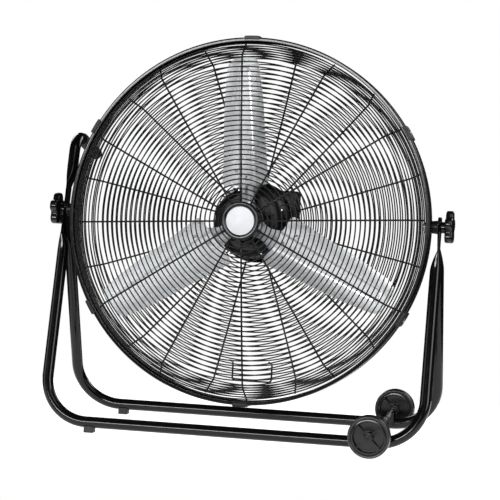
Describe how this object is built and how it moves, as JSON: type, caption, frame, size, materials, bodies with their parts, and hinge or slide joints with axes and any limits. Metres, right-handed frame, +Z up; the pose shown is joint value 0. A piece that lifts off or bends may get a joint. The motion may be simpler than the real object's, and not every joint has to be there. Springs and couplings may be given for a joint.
{
  "type": "tilting floor fan",
  "caption": "Large axial floor fan: wire guards in a steel hoop, tilting on side pivots of a tube rack with wheels, feet and a carrying handle.",
  "frame": {"origin": "on the floor, midway between the four legs and under the pivot axis", "axes": "+Z up, -Y is the side the air leaves from, +X towards the wheels, -X towards the handle"},
  "size_m": [0.917, 0.44, 0.8931],
  "materials": {
    "frame_paint": "gloss black powder coat",
    "grille_paint": "satin black powder coat",
    "hoop_paint": "gloss black paint on rolled steel",
    "black_plastic": "moulded black plastic, satin",
    "gloss_black_plastic": "moulded black plastic, gloss",
    "grip_rubber": "matte soft rubber",
    "foot_rubber": "matte hard rubber",
    "tyre_rubber": "hard black rubber, slightly shiny",
    "zinc_steel": "bright zinc plate",
    "blade_aluminium": "bright rolled aluminium",
    "spider_steel": "zinc plated pressed steel",
    "badge_silver": "satin silver, clear lacquer",
    "motor_paint": "satin black paint on cast aluminium",
    "core_steel": "laminated electrical steel",
    "copper_wire": "lacquered copper wire",
    "bearing_steel": "ground bearing steel",
    "fibre_washer": "fibre washer",
    "capacitor_case": "moulded capacitor case"
  },
  "bodies": {
    "stand": {"front_frame_tube": "frame_paint", "rear_frame_tube": "frame_paint", "handle_grip": "grip_rubber", "foot_front": "foot_rubber", "foot_rear": "foot_rubber", "foot_screws": "zinc_steel", "axle_bracket_front": "frame_paint", "axle_bracket_rear": "frame_paint", "bracket_screws": "grille_paint", "wheel_axle": "zinc_steel", "axle_caps": "gloss_black_plastic", "axle_washers": "black_plastic", "friction_washers": "fibre_washer"},
    "wheel_front": {"wheel_disc_front": "gloss_black_plastic", "wheel_tyre_front": "tyre_rubber"},
    "wheel_rear": {"wheel_disc_rear": "gloss_black_plastic", "wheel_tyre_rear": "tyre_rubber"},
    "knob_left": {"pivot_knob_left": "gloss_black_plastic"},
    "knob_right": {"pivot_knob_right": "gloss_black_plastic"},
    "speed_dial": {"speed_knob": "black_plastic"},
    "rotor": {"motor_shaft": "bearing_steel", "rotor_core": "core_steel", "blade_spider": "spider_steel", "blade_rivets": "zinc_steel", "blade_1": "blade_aluminium", "blade_2": "blade_aluminium", "blade_3": "blade_aluminium"},
    "head": {"clip_screws": "zinc_steel", "pivot_bolt_left": "zinc_steel", "pivot_bolt_right": "zinc_steel", "plate_screws": "zinc_steel", "motor_bolts": "zinc_steel", "badge_ring": "gloss_black_plastic", "pivot_spacer_left": "black_plastic", "pivot_spacer_right": "black_plastic", "grille_clips": "black_plastic", "switch_box": "black_plastic", "cable_gland": "black_plastic", "front_grille_rings": "grille_paint", "front_shoulder_rings": "grille_paint", "front_grille_spokes": "grille_paint", "front_grille_rim": "grille_paint", "rear_grille_rings": "grille_paint", "rear_shoulder_rings": "grille_paint", "rear_grille_spokes": "grille_paint", "rear_grille_rim": "grille_paint", "cord_hook": "grille_paint", "motor_plate": "grille_paint", "pivot_plate_left": "grille_paint", "pivot_plate_right": "grille_paint", "trim_hoop": "hoop_paint", "badge_disc": "badge_silver", "motor_shell_front": "motor_paint", "motor_shell_rear": "motor_paint", "stator_core": "core_steel", "stator_winding": "copper_wire", "bearing_front": "bearing_steel", "bearing_rear": "bearing_steel", "capacitor": "capacitor_case"}
  },
  "joints": [
    {"name": "head_tilt", "type": "hinge", "parent": "stand", "child": "head", "pos_m": [0, 0, 0.485], "axis": [1, 0, 0], "range_deg": [-86, 94]},
    {"name": "rotor_spin", "type": "hinge", "parent": "head", "child": "rotor", "pos_m": [0, -0.0105, 0.47822], "axis": [0, 0.9976, -0.0698], "continuous": true},
    {"name": "knob_left_turn", "type": "hinge", "parent": "head", "child": "knob_left", "pos_m": [-0.445, 0, 0.485], "axis": [1, 0, 0], "continuous": true},
    {"name": "knob_right_turn", "type": "hinge", "parent": "head", "child": "knob_right", "pos_m": [0.445, 0, 0.485], "axis": [1, 0, 0], "continuous": true},
    {"name": "speed_dial_turn", "type": "hinge", "parent": "head", "child": "speed_dial", "pos_m": [0.068, 0.11235, 0.51474], "axis": [0, 0.9976, -0.0698], "range_deg": [0, 135]},
    {"name": "wheel_front_spin", "type": "hinge", "parent": "stand", "child": "wheel_front", "pos_m": [0.32, -0.2005, 0.046], "axis": [0, 1, 0], "continuous": true},
    {"name": "wheel_rear_spin", "type": "hinge", "parent": "stand", "child": "wheel_rear", "pos_m": [0.32, 0.2005, 0.046], "axis": [0, 1, 0], "continuous": true}
  ]
}
